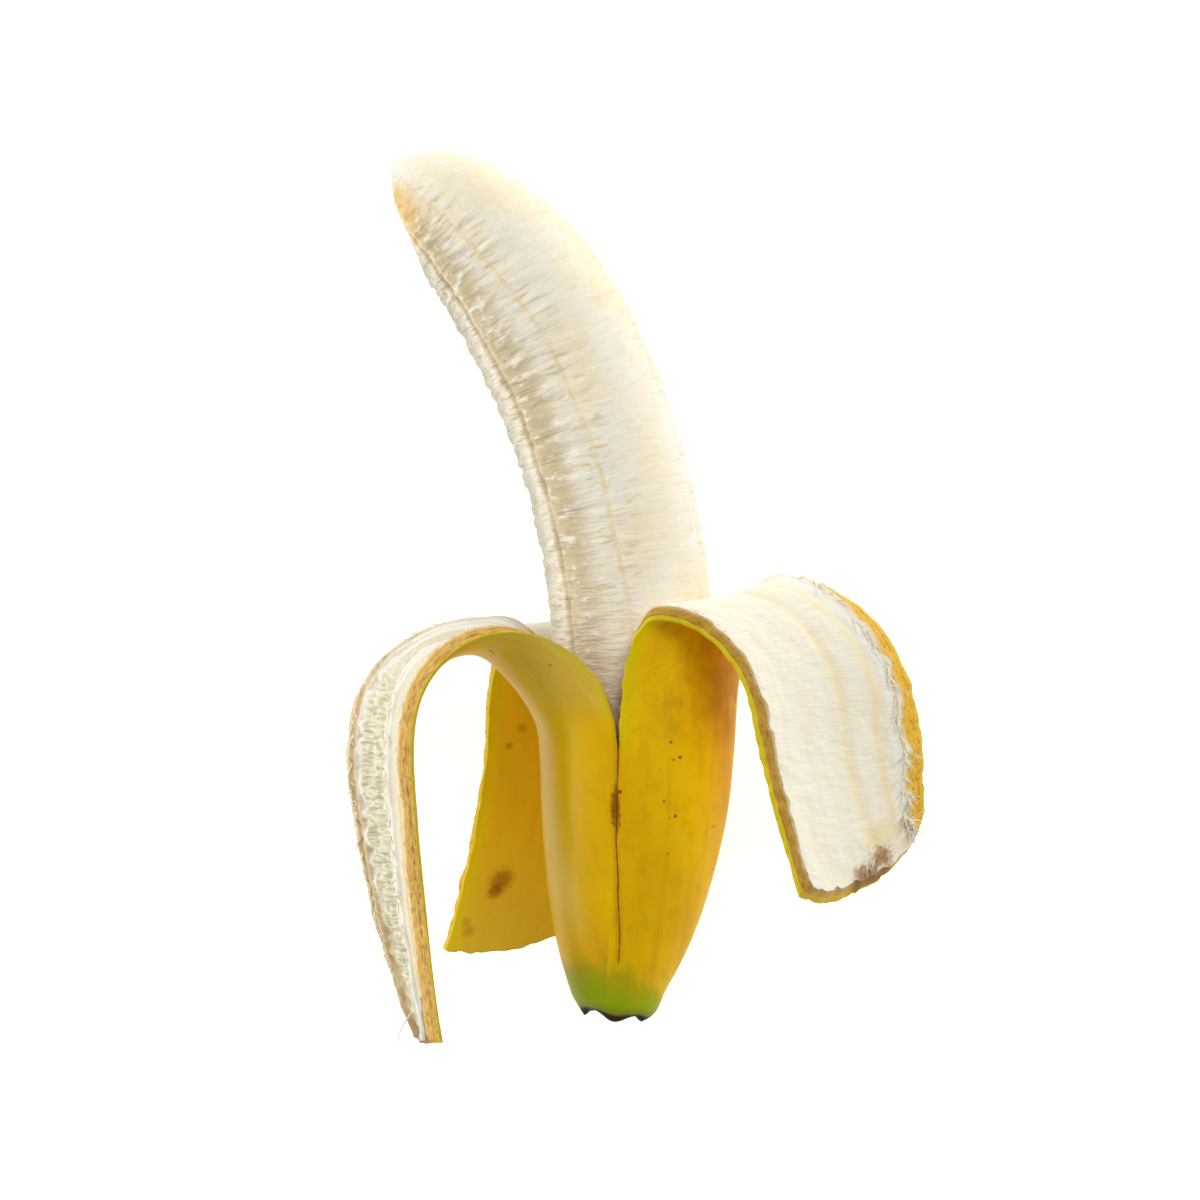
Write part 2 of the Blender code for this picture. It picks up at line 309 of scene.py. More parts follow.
def draw_strips():
    """The drawn form of the peel: for each strip its rows of points, cup and strip in one."""
    columns = 3 * STRIP_COLUMNS
    angles = TOP_TEAR + STRIP_ANGLE * np.arange(columns) / STRIP_COLUMNS
    stations = MOUTH * (np.arange(CUP_ROWS + 1) / CUP_ROWS) ** CUP_ROW_POWER
    station, angle = np.meshgrid(stations, angles, indexing="ij")
    cup = ring(station, cup_radius(station) / math.cos(math.pi / columns), angle)
    right = np.array((1.0, 0.0, 0.0))
    strips = []
    for number, (folds, out, side) in enumerate(
            ((RIGHT_FOLDS, right, UP), (BACK_FOLDS, -UP, right), (LEFT_FOLDS, -right, UP))):
        chosen = (number * STRIP_COLUMNS + np.arange(-1, STRIP_COLUMNS + 2)) % columns
        root = cup[-1, chosen[1:-1]]
        lines = []
        for fold, anchor in zip(folds, root[[0, STRIP_COLUMNS // 2, STRIP_COLUMNS]]):
            if number == BACK:
                crest_up, free, sideways, end_side, rise_power = fold
                drop = anchor[2] - PEEL_WALL
                fold = (BACK_CREST_SHARE * drop, crest_up, drop, rise_power, BACK_FALL_POWER, free, 0.0,
                        sideways, end_side, BACK_BEND)
            lines.append(strip_line(anchor, fold, out, side))
        free_rows = np.array([section(*edges) for edges in zip(*lines)])
        free_rows = with_spares(free_rows.swapaxes(0, 1)).swapaxes(0, 1)
        strips.append(with_spares(np.concatenate((cup[:, chosen], free_rows))))
    return strips


def spline_weights(at, count):
    """How much each drawn point counts at places along a smooth line, one spare point at each end."""
    start = np.minimum(np.floor(at).astype(int), count - 2)
    f = at - start
    parts = ((1 - f) ** 3, 3 * f ** 3 - 6 * f ** 2 + 4, -3 * f ** 3 + 3 * f ** 2 + 3 * f + 1, f ** 3)
    weights = np.zeros((len(at), count + 2))
    for offset, part in enumerate(parts):
        weights[np.arange(len(at)), start + offset] = part / 6
    return weights


def smooth(drawn):
    """The fine smooth surface of a drawn strip, its columns closer together at its edges."""
    rows = drawn.shape[0] - 2
    fine_rows = np.arange((rows - 1) * SKIN_ROWS + 1) / SKIN_ROWS
    share = np.linspace(0, 1, STRIP_COLUMNS * SKIN_COLUMNS + 1)
    fine_columns = STRIP_COLUMNS * (share - 0.09 * np.sin(2 * np.pi * share))
    down = spline_weights(fine_rows, rows)
    over = spline_weights(fine_columns, STRIP_COLUMNS + 1)
    return np.einsum("ri,ijk,cj->rck", down, drawn, over)


def outward(points):
    """Directions out of a strip's skin."""
    return unit(np.cross(np.gradient(points, axis=1), np.gradient(points, axis=0)))


def weld(grids):
    """Bring neighbouring strips to one shared line below the tears, where the cup is whole."""
    for number in range(3):
        here, after = grids[number], grids[(number + 1) % 3]
        shared = (here[:TEAR_ROW + 1, -1] + after[:TEAR_ROW + 1, 0]) / 2
        here[:TEAR_ROW + 1, -1] = shared
        after[:TEAR_ROW + 1, 0] = shared


def walked(points, axis):
    """Length walked along a grid's rows or columns."""
    steps = np.linalg.norm(np.diff(points, axis=axis), axis=-1)
    start = np.zeros_like(np.take(steps, [0], axis=axis))
    return np.concatenate((start, np.cumsum(steps, axis=axis)), axis=axis)


def slide(grid, at, to):
    """Move a grid's points along its rows, from lengths at to lengths to, also a little past its ends."""
    moved = np.empty_like(grid)
    reach = 0.004
    for row in range(len(grid)):
        line, here = grid[row], at[row]
        before = line[0] + (line[0] - line[1]) * reach / (here[1] - here[0])
        after = line[-1] + (line[-1] - line[-2]) * reach / (here[-1] - here[-2])
        line = np.concatenate((before[None], line, after[None]))
        here = np.concatenate(([here[0] - reach], here, [here[-1] + reach]))
        for part in range(line.shape[-1]):
            moved[row, :, part] = np.interp(to[row], here, line[:, part])
    return moved


def slide_down(grid, at, to):
    """Move a grid's points along its columns in the same way."""
    return slide(grid.swapaxes(0, 1), at.T, to.T).swapaxes(0, 1)


def grain(across, along, width, length, seed, wrap=251):
    """Soft random relief from -1 to 1 in cells of a width and a length. Wrap is the cells once round."""
    knots = np.random.default_rng(seed).uniform(-1, 1, (wrap, 509))
    column, row = np.floor(across / width), np.floor(along / length)
    a, b = across / width - column, along / length - row
    a, b = a * a * (3 - 2 * a), b * b * (3 - 2 * b)
    column, row = column.astype(int), row.astype(int)
    near = knots[column % wrap, row % 509] * (1 - b) + knots[column % wrap, (row + 1) % 509] * b
    far = knots[(column + 1) % wrap, row % 509] * (1 - b) + knots[(column + 1) % wrap, (row + 1) % 509] * b
    return near * (1 - a) + far * a


def drift(along, length, seed):
    """Random drift of a line from -1 to 1, in steps of a length along it."""
    return grain(0 * along, along, 1, length, seed)


def relief_of(layers, across, along, number):
    """Several layers of grain in one, different on each strip."""
    return sum(height * grain(across, along, width, length, seed + number)
               for width, length, height, seed in layers)


def bell(distance, width):
    """1 on a line, falling to 0 about two widths away from it."""
    return np.exp(-(distance / width) ** 2)


def ramp(value, start, end):
    """0 at start, 1 at end, with a smooth rise between."""
    share = np.clip((value - start) / (end - start), 0, 1)
    return share * share * (3 - 2 * share)


class Patchwork:
    """A mesh sewn from grids of points. Each corner of a face carries marks that the finishes read."""

    def __init__(self):
        self.points = []
        self.count = 0
        self.quads = []
        self.marks = []
        self.kinds = []

    def add(self, points):
        """Store a grid of points and give back the grid of their numbers."""
        points = np.asarray(points, float)
        self.points.append(points.reshape(-1, 3))
        size = points.size // 3
        self.count += size
        return np.arange(self.count - size, self.count).reshape(points.shape[:-1])

    def add_ring(self, points):
        """The same for rows that close on themselves."""
        numbers = self.add(points)
        return np.concatenate((numbers, numbers[:, :1]), 1)

    def cover(self, numbers, marks, kind=0, flip=False):
        """Faces over a grid of numbers, each corner with its marks."""
        corners = [np.s_[:-1, :-1], np.s_[:-1, 1:], np.s_[1:, 1:], np.s_[1:, :-1]]
        if flip:
            corners.reverse()
        self.quads.append(np.stack([numbers[c] for c in corners], -1).reshape(-1, 4))
        self.marks.append(np.stack([marks[c] for c in corners], -2).reshape(-1, 4, marks.shape[-1]))
        self.kinds.append(np.full(len(self.quads[-1]), kind))

    def cap(self, numbers, marks, centre, kind=0, flip=False):
        """Faces from a closed row of points to one point amid them."""
        hub = np.full(len(numbers), self.add(centre[None])[0])
        self.cover(np.stack((numbers, hub)), np.stack((marks, marks)), kind, flip)

    def make(self, name, finishes, mark_names):
        """The mesh object with its finishes and its marks, three numbers to a name."""
        used, quads = np.unique(np.concatenate(self.quads), return_inverse=True)
        quads = quads.reshape(-1, 4)
        points = np.concatenate(self.points)[used]
        marks = np.concatenate(self.marks)
        keep = quads != np.roll(quads, 1, 1)
        sizes = keep.sum(1)
        mesh = bpy.data.meshes.new(name)
        mesh.vertices.add(len(points))
        mesh.vertices.foreach_set("co", points.astype(np.float32).ravel())
        mesh.loops.add(int(sizes.sum()))
        mesh.loops.foreach_set("vertex_index", quads[keep].astype(np.int32))
        mesh.polygons.add(len(quads))
        starts = np.concatenate(([0], np.cumsum(sizes)[:-1]))
        mesh.polygons.foreach_set("loop_start", starts.astype(np.int32))
        mesh.polygons.foreach_set("material_index", np.concatenate(self.kinds).astype(np.int32))
        mesh.update(calc_edges=True)
        for number, mark_name in enumerate(mark_names):
            layer = mesh.attributes.new(mark_name, "FLOAT_VECTOR", "CORNER")
            values = marks[..., 3 * number:3 * number + 3][keep]
            layer.data.foreach_set("vector", values.astype(np.float32).ravel())
        for finish in finishes:
            mesh.materials.append(finish)
        mesh.shade_smooth()
        piece = bpy.data.objects.new(name, mesh)
        bpy.context.scene.collection.objects.link(piece)
        return piece


skins = [smooth(drawn) for drawn in draw_strips()]
weld(skins)
walls = [outward(skin) for skin in skins]
weld(walls)
walls = [unit(wall) for wall in walls]

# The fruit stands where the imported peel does
both_faces = np.concatenate([(skin - wall * depth).reshape(-1, 3) for skin, wall in zip(skins, walls)
                             for depth in (0, PEEL_WALL)])
peel_low, peel_high = (np.array(corner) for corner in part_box("peel"))
stand = (peel_low + peel_high) / 2 - (both_faces.min(0) + both_faces.max(0)) / 2
stand[2] = 0

row_numbers = np.arange(len(skins[0]))[:, None]
# 0 in the cup, 1 along the torn strips
torn_free = ramp(row_numbers, TEAR_ROW, TEAR_ROW + OPENING_ROWS)
piths, marks, pith_marks = [], [], []
for number in range(3):
    skin, wall = skins[number], walls[number]
    across = walked(skin, 1)
    along = walked(skin, 0)[:, skin.shape[1] // 2][:, None] + 0 * across
    width = across[:, -1:]

    # Seam of the closed tear, measured across from the front line of the cup
    front = {RIGHT: across, BACK: 0 * across + FAR_FROM_SEAM, LEFT: across - width}[number]
    wander = SEAM_WANDER * drift(along, 0.004, 21)
    seam = front - SEAM_DRIFT * ramp(along, SEAM_DRIFT_START, SEAM_END) - wander
    seam_open = ramp(along, SEAM_END - 0.001, SEAM_END + 0.003) * (1 - torn_free)
    green_top = GREEN_TOP - np.where(front > 0, *GREEN_SLOPES) * np.maximum(np.abs(front) - 0.002, 0)
    green = ramp(along, np.maximum(green_top, 0.010), 0.002)

    # The skin: soft swellings, fine pores and the groove of the closed tear
    swell = relief_of(SKIN_RELIEF, across, along, number)
    swell = swell * ramp(np.minimum(across, width - across), 0, 0.003)
    swell = swell - SEAM_GROOVE * bell(seam, 0.0003) * seam_open
    swell = swell + SEAM_GROOVE * bell(np.abs(seam) - 0.0010, 0.0007) * seam_open
    skin = skin + wall * swell[..., None]
    rag_first = SKIN_RAGGED[number] * drift(along, SKIN_STEP, 71 + number) * torn_free
    rag_last = SKIN_RAGGED[number] * drift(along, SKIN_STEP, 74 + number) * torn_free
    share = across / width
    skin = slide(skin, across, across + rag_first * (1 - share) ** 8 + rag_last * share ** 8)

    to_end = along[-1:] - along
    trim = END_TRIM[number] * bell(share - 0.5, 0.35)
    trim = trim + 0.0003 * grain(across, 0 * along, 0.0011, 1, 95 + number)
    trim = trim * bell(to_end, 0.010)
    skin = slide_down(skin, along, along - trim)

    # The pith: bands, threads and open cells, cut back from the skin's edges and end
    bands = {"line": 0, "thread": 0}
    relief = relief_of(PITH_RELIEF, across, along, number)
    stray = 0.014 * drift(along, 0.014, 31 + number) * torn_free
    for at, band, height, kind in PITH_BANDS[number]:
        line = bell((share - at - stray) * width, band)
        broken = 1 + 0.35 * drift(along, 0.0026, round(100 * at) + number)
        relief = relief + height * line * broken
        bands[kind] = np.maximum(bands[kind], line)
    sponge_from, sponge_to = SPONGY[number]
    spongy = ramp(share, sponge_from, sponge_from + 0.05) * ramp(share, sponge_to, sponge_to - 0.05)
    spongy = spongy * ramp(along, SPONGE_START, SPONGE_FULL)
    relief = relief + (SPONGE_DEPTH * spongy + CLOSED_DEPTH) * relief_of(CELL_RELIEF, across, along, number)
    edge = np.minimum(across, width - across)
    relief = relief * (1 - torn_free * (1 - ramp(edge, 0, 0.002)))
    relief = relief - 0.0002 * bell(edge, 0.0012) * torn_free
    pith = skins[number] - wall * (PEEL_WALL + relief)[..., None]
    short_first, short_last = PITH_SHORT[number]
    ragged_first, ragged_last = RAGGED[number]
    short_first = (short_first + ragged_first * drift(along, PITH_STEP, 81 + number)) * torn_free
    short_last = (short_last + ragged_last * drift(along, PITH_STEP, 84 + number)) * torn_free
    short_last = short_last * (1 + 0.5 * ramp(along, 0.130, 0.150))
    pulled = across + short_first * (1 - share) ** 5 - short_last * share ** 5
    pith = slide(pith, across, pulled)
    short_end = PITH_SHORT_AT_END[number] + 0.0006 * grain(across, 0 * along, 0.0016, 1, 91 + number)
    short_end = short_end * bell(to_end, 0.008) + trim
    pith = slide_down(pith, along, along - short_end)
    if number == BACK:
        pith[..., 2] = np.maximum(pith[..., 2], 0)
        skin[..., 2] = np.maximum(skin[..., 2], 0)

    skins[number] = skin
    piths.append(pith)
    strip = 0 * across + number
    shared = (along, strip, across, width - across)
    marks.append(np.stack((across, *shared, 0 * across, seam, green, to_end), -1))
    bands = (bands["line"], spongy, bands["thread"])
    pith_marks.append(np.stack((pulled, *shared, 0 * across + 1, *bands), -1))
weld(piths)
weld(skins)

# The cup ends in blunt lobes round a dry hollow
foot_way = np.array((math.sin(FOOT_LEAN), math.cos(FOOT_LEAN), 0.0))
foot_right = np.array((math.cos(FOOT_LEAN), -math.sin(FOOT_LEAN), 0.0))
foot_centre = middle_line(np.array(0.0))[0]


def lobe_reach(points):
    """How far the blossom end's lobes reach out at each point's angle round the cup."""
    offset = points - foot_centre
    angle = np.arctan2(offset @ foot_right, offset @ UP)
    reach = 0
    for at, size, half_width in LOBES:
        gap = (angle - at + np.pi) % (2 * np.pi) - np.pi
        reach = np.maximum(reach, size * bell(gap, half_width))
    return reach


for skin, mark in zip(skins, marks):
    near_end = np.clip(1 - mark[..., 1] / LOBE_LENGTH, 0, 1) ** 2
    reach = (lobe_reach(skin) - NOTCH) * near_end
    skin -= foot_way * reach[..., None]
    radial = skin - foot_centre
    radial = unit(radial - (radial @ foot_way)[..., None] * foot_way)
    flare = ramp(mark[..., 1], FLARE_LENGTH, 0) * (FLARE + FLARE_RIGHTWARD * (radial @ foot_right))
    skin += radial * flare[..., None]

SKIN, TORN, PITH = 0, 1, 2
wall_sheets = Patchwork()
skin_numbers = [wall_sheets.add(skin + stand) for skin in skins]
pith_numbers = [wall_sheets.add(pith + stand) for pith in piths]
for number in range(3):
    for numbers in (skin_numbers, pith_numbers):
        numbers[number][:TEAR_ROW + 1, -1] = numbers[(number + 1) % 3][:TEAR_ROW + 1, 0]

layers = np.linspace(0, 1, WALL_LAYERS + 1)
inner_layers = layers[1:-1]
edge_numbers = []
for number in range(3):
    for side, beside in ((0, 1), (-1, -2)):
        outer = skins[number][TEAR_ROW:, side]
        inner = piths[number][TEAR_ROW:, side]
        push = unit(outer - skins[number][TEAR_ROW:, beside])
        along = marks[number][TEAR_ROW:, side, 1][:, None]
        fibres = EDGE_FIBRES * grain(inner_layers * PEEL_WALL + 0 * along, along + 0 * inner_layers,
                                     0.0006, 0.0016, 61 + 2 * number + side)
        bulge = EDGE_BULGE * np.sin(np.pi * inner_layers)
        opened = np.linspace(0, 1, len(outer))[:, None] > 0.02
        middle = outer[:, None] + (inner - outer)[:, None] * inner_layers[:, None]
        middle = middle + push[:, None] * ((fibres + bulge) * opened)[..., None]
        numbers = wall_sheets.add(middle + stand)
        edge_numbers.append(np.concatenate((skin_numbers[number][TEAR_ROW:, side][:, None], numbers,
                                            pith_numbers[number][TEAR_ROW:, side][:, None]), 1))
for number in range(3):
    edge_numbers[2 * number + 1][0] = edge_numbers[(2 * number + 2) % 6][0]

for number in range(3):
    wall_sheets.cover(skin_numbers[number], marks[number], SKIN)
    wall_sheets.cover(pith_numbers[number], pith_marks[number], PITH, flip=True)
    for side, flip in ((0, True), (-1, False)):
        edge_marks = np.repeat(marks[number][TEAR_ROW:, side][:, None], WALL_LAYERS + 1, 1)
        edge_marks[..., 5] = layers
        wall_sheets.cover(edge_numbers[2 * number - side], edge_marks, TORN, flip)
    outer, inner = skins[number][-1], piths[number][-1]
    across = marks[number][-1, :, 0]
    depth = inner_layers[:, None]
    fibres = grain(across + 0 * depth, 0 * across + depth * PEEL_WALL, 0.0009, 0.0006, 67 + number)
    onward = unit(outer - skins[number][-2])
    middle = outer + (inner - outer) * depth[..., None] + onward * END_FIBRES * fibres[..., None]
    end_numbers = np.concatenate((edge_numbers[2 * number][-1, 1:-1][:, None],
                                  wall_sheets.add(middle[:, 1:-1] + stand),
                                  edge_numbers[2 * number + 1][-1, 1:-1][:, None]), 1)
    end_numbers = np.concatenate((skin_numbers[number][-1:], end_numbers, pith_numbers[number][-1:]))
    end_marks = np.repeat(marks[number][-1][None], WALL_LAYERS + 1, 0)
    end_marks[..., 5] = layers[:, None]
    wall_sheets.cover(end_numbers, end_marks, TORN)

rim = np.concatenate([skin[0, :-1] for skin in skins])
rim_centre = rim.mean(0) + foot_way * END_HOLLOW / 4
end_rings = [np.concatenate([numbers[0, :-1] for numbers in skin_numbers])]
for share in np.arange(1, END_RINGS) / END_RINGS:
    hollow = END_HOLLOW / 2 * math.sin(share * math.pi / 2)
    crumple = 0.0004 * grain(np.arange(len(rim)) * 1.0, 0 * rim[:, 0] + share, 4, 0.2, 97, 999)
    flat = rim_centre + (rim - rim_centre) * (1 - share) ** 0.8
    end_rings.append(wall_sheets.add(flat + foot_way * (hollow + crumple)[:, None] + stand))
hub = wall_sheets.add((rim_centre + foot_way * END_HOLLOW / 2 + stand)[None])[0]
end_rings.append(np.full(len(rim), hub))
end_grid = np.stack(end_rings)
end_grid = np.concatenate((end_grid, end_grid[:, :1]), 1)
rim_marks = np.concatenate([mark[0, :-1] for mark in marks] + [marks[0][0, :1]])
end_marks = np.repeat(rim_marks[None], END_RINGS + 1, 0)
end_marks[..., 1] = -0.006 * np.linspace(0, 1, END_RINGS + 1)[:, None]
wall_sheets.cover(end_grid, end_marks, SKIN, flip=True)

foot_numbers = np.concatenate([numbers[0, :-1] for numbers in pith_numbers])
foot_middle = np.concatenate([pith[0, :-1] for pith in piths]).mean(0) + foot_way * 0.003
foot_marks = np.concatenate([mark[0, :-1] for mark in pith_marks] + [pith_marks[0][0, :1]])
wall_sheets.cap(np.append(foot_numbers, foot_numbers[0]), foot_marks, foot_middle + stand, PITH)


class Tone:
    """One value in a finish. A sum of tones, or of tones and numbers, adds its Math nodes."""

    def __init__(self, socket):
        self.socket = socket

    def reckon(self, operation, first, second=0.0):
        """A Math node on two values, in that order."""
        node = self.socket.id_data.nodes.new("ShaderNodeMath")
        node.operation = operation
        plug(node.inputs[0], first)
        plug(node.inputs[1], second)
        return Tone(node.outputs[0])

    def __add__(self, other):
        return self.reckon("ADD", self, other)

    __radd__ = __add__

    def __sub__(self, other):
        return self.reckon("SUBTRACT", self, other)

    def __rsub__(self, other):
        return self.reckon("SUBTRACT", other, self)

    def __mul__(self, other):
        return self.reckon("MULTIPLY", self, other)

    __rmul__ = __mul__

    def __truediv__(self, other):
        return self.reckon("DIVIDE", self, other)

    def __abs__(self):
        return self.reckon("ABSOLUTE", self)

    def most(self, other):
        """The larger of two values."""
        return self.reckon("MAXIMUM", self, other)

    def least(self, other):
        """The smaller of two values."""
        return self.reckon("MINIMUM", self, other)

    def rise(self, start, end):
        """0 at start and 1 at end, with a smooth rise between. Start may be the larger."""
        node = self.socket.id_data.nodes.new("ShaderNodeMapRange")
        node.interpolation_type = "SMOOTHSTEP"
        plug(node.inputs["Value"], self)
        for slot, value in (("From Min", min(start, end)), ("From Max", max(start, end)),
                            ("To Min", float(start > end)), ("To Max", float(start < end))):
            plug(node.inputs[slot], value)
        return Tone(node.outputs["Result"])


def plug(slot, value):
    """Set a socket to a number, a colour or a vector, or link it to a tone."""
    if isinstance(value, Tone):
        slot.id_data.links.new(value.socket, slot)
    else:
        slot.default_value = value


def shade(red, green, blue):
    """A display colour, 0 to 255, as the light values that a shader mixes."""
    parts = (part / 255 for part in (red, green, blue))
    return (*(part / 12.92 if part < 0.0405 else ((part + 0.055) / 1.055) ** 2.4 for part in parts), 1)


class Finish:
    """A material under way: its node tree, its shader, its colour so far and calls for its nodes."""

    def __init__(self, name, constants):
        self.material = bpy.data.materials.new(name)
        self.material.use_nodes = True
        self.tree = self.material.node_tree
        self.shader = self.tree.nodes["Principled BSDF"]
        for slot, value in constants.items():
            self.shader.inputs[slot].default_value = value

    def node(self, kind, settings=None, sockets=None, output=0):
        """A node of a kind, its settings made first, then its sockets set or linked."""
        node = self.tree.nodes.new("ShaderNode" + kind)
        for key, value in (settings or {}).items():
            setattr(node, key, value)
        for key, value in (sockets or {}).items():
            plug(node.inputs[key], value)
        return Tone(node.outputs[output])

    def read(self, name):
        """The vector that the mesh's corners carry under a name."""
        return self.node("Attribute", {"attribute_name": name}, output="Vector")

    def parts(self, vector):
        """The three numbers of a vector."""
        first = self.node("SeparateXYZ", None, {0: vector})
        return [Tone(output) for output in first.socket.node.outputs]

    def noise(self, across, along, layer, detail=2.0, rough=0.5, warp=0.0):
        """Soft noise, about 0.5 in the mean. Across and along are already in cells."""
        where = self.node("CombineXYZ", None, {"X": across, "Y": along, "Z": layer})
        sockets = {"Vector": where, "Scale": 1.0, "Detail": detail, "Roughness": rough, "Distortion": warp}
        return self.node("TexNoise", None, sockets, "Fac")

    def blend(self, factor, first, second):
        """Colour that goes from first to second as the factor rises."""
        return self.node("Mix", {"data_type": "RGBA"}, {0: factor, 6: first, 7: second}, 2)

    def paint(self, factor, *tint):
        """Lay a display colour over the one so far, as much as the factor says."""
        self.color = self.blend(factor, self.color, shade(*tint))

    def near(self, where, spot):
        """Distance of a vector from a fixed spot."""
        return self.node("VectorMath", {"operation": "DISTANCE"}, {0: where, 1: spot}, "Value")

    def done(self, roughness, height, depth):
        """Link the finish: its colour, its roughness and a relief of a depth in metres."""
        relief = self.node("Bump", None, {"Height": height, "Distance": depth, "Strength": 1.0})
        plug(self.shader.inputs["Base Color"], self.color)
        plug(self.shader.inputs["Roughness"], roughness)
        plug(self.shader.inputs["Normal"], relief)
        return self.material


def skin_finish():
    """Ripe yellow skin, green at the blossom end, with brown scars, a waxy sheen, painted shade under the
    right arch and painted light on its left and back strips.
    """
    skin = Finish("banana_skin", {"Specular IOR Level": 0.06, "Coat Roughness": 0.28})
    place = skin.read("place")
    across, along, strip = skin.parts(place)
    first_edge, last_edge = skin.parts(skin.read("wall"))[:2]
    seam, green, to_end = skin.parts(skin.read("bands"))
    clouds = skin.noise(across * 60 + strip * 9, along * 32, strip, 3)
    mottle = skin.noise(across * 260, along * 200, strip + 3.0, 4, 0.6)
    skin.color = skin.blend(clouds.rise(0.36, 0.66), shade(236, 190, 4), shade(226, 172, 4))
    skin.paint(mottle.rise(0.45, 0.75) * 0.5, 196, 160, 12)
    stripes = skin.noise(across * 330 + 7, along * 26, strip + 8.0, 4, 0.6)
    skin.paint(stripes.rise(0.50, 0.70) * 0.4, 206, 152, 6)
    at_right = strip.rise(0.5, 0.0)
    # painted shade: a deeper golden brown on the cup just under the right strip's arch, where the arch
    # shades it
    under_arch_shade = at_right * along.rise(0.056, 0.068) * along.rise(0.090, 0.078) * across.rise(0.002, 0.016)
    skin.paint(under_arch_shade * mottle.rise(0.2, 0.6) * 0.6, 190, 132, 10)
    at_back = strip.rise(0.5, 1.0) * strip.rise(1.5, 1.0)
    # painted light: the whole back strip is painted a brighter yellow, where it lies in the cup's shade
    skin.paint(at_back * 0.75, 242, 206, 34)
    skin.paint(at_back * to_end.rise(0.030, 0.004) * 0.8, 216, 186, 56)
    fresh_edge = first_edge.least(last_edge).rise(0.0040, 0.0008) * along.rise(0.056, 0.062)
    skin.paint(fresh_edge * 0.7, 216, 200, 8)
    at_left = strip.rise(1.5, 2.0)
    off_front = at_left * last_edge.rise(0.0, 0.014)
    # partly painted light: the left strip's skin is painted a paler yellow off the front line, for the
    # bright left side of the cup; the same mask sets its real coat
    skin.paint(off_front * 0.7, 238, 202, 10)
    arch = at_left * along.rise(0.058, 0.066) * along.rise(0.150, 0.120)
    skin.paint(arch * clouds.rise(0.25, 0.6) * 0.55, 206, 176, 78)
    # painted highlight: a pale cream band along the left side of the cup, standing in for the sheen there
    painted_highlight = at_left * abs(across - PAINTED_HIGHLIGHT).rise(PAINTED_HIGHLIGHT_HALF_WIDTH, 0.0015)
    painted_highlight = painted_highlight * along.rise(0.014, 0.030) * along.rise(0.078, 0.060)
    skin.paint(painted_highlight * (0.45 + stripes * 0.4), 244, 218, 116)
    streaks = skin.noise(across * 420, along * 50, 2.0, 3)
    skin.paint(arch * streaks.rise(0.5, 0.7) * 0.4, 228, 206, 120)
    tinge = (green + (streaks - 0.5) * 0.65 + (clouds - 0.5) * 0.4).rise(0.0, 1.10)
    skin.paint(tinge.rise(0.0, 0.45) * 0.75, 170, 160, 18)
    skin.paint(tinge.rise(0.25, 1.0), 154, 172, 16)
    pores = skin.noise(across * 1100, along * 1000, strip + 4.0, 2)
    skin.paint(pores.rise(0.70, 0.78) * 0.5, 150, 100, 8)
    brown = skin.noise(across * 1500, along * 1100, 6.0, 3, 0.65)
    scar_tone = (brown - 0.5) * 0.9
    for *spot, radius, darkness in SCARS:
        distance = skin.near(place, spot) / (1.35 * radius) + scar_tone
        skin.paint(distance.rise(1.2, 0.3) * darkness, 126, 54, 4)
    smear_across = (seam + 0.0003) / 0.0012
    smear_along = (along - SMEAR) / SMEAR_LENGTH
    smear = smear_across * smear_across + smear_along * smear_along + (brown - 0.5) * 2.4
    skin.paint(smear.rise(1.3, 0.1) * 0.85, 116, 66, 6)
    closed = along.rise(SEAM_END - 0.0004, SEAM_END + 0.001) * along.rise(0.066, 0.060)
    line = abs(seam + (brown - 0.5) * 0.0002)
    skin.paint(line.rise(0.0011, 0.0003) * closed * 0.25, 150, 96, 8)
    broken = brown.rise(0.30, 0.55) * 0.6 + 0.3
    skin.paint(line.rise(0.00022, 0.00006) * closed * broken, 100, 60, 8)
    rim_line = along + (brown - 0.5) * 0.0016
    skin.paint(rim_line.rise(0.0050, 0.0024) * 0.45, 104, 92, 40)
    skin.paint(rim_line.rise(0.0026, 0.0015), 52, 36, 30)
    tip_end = at_left * to_end.rise(0.012, 0.0)
    skin.paint(tip_end * brown.rise(0.35, 0.6) * 0.8, 120, 96, 24)
    height = mottle * 0.6 + brown * 0.4
    plug(skin.shader.inputs["Coat Weight"], off_front * 0.25)
    return skin.done(0.42 + mottle * 0.14, height, 0.00015)


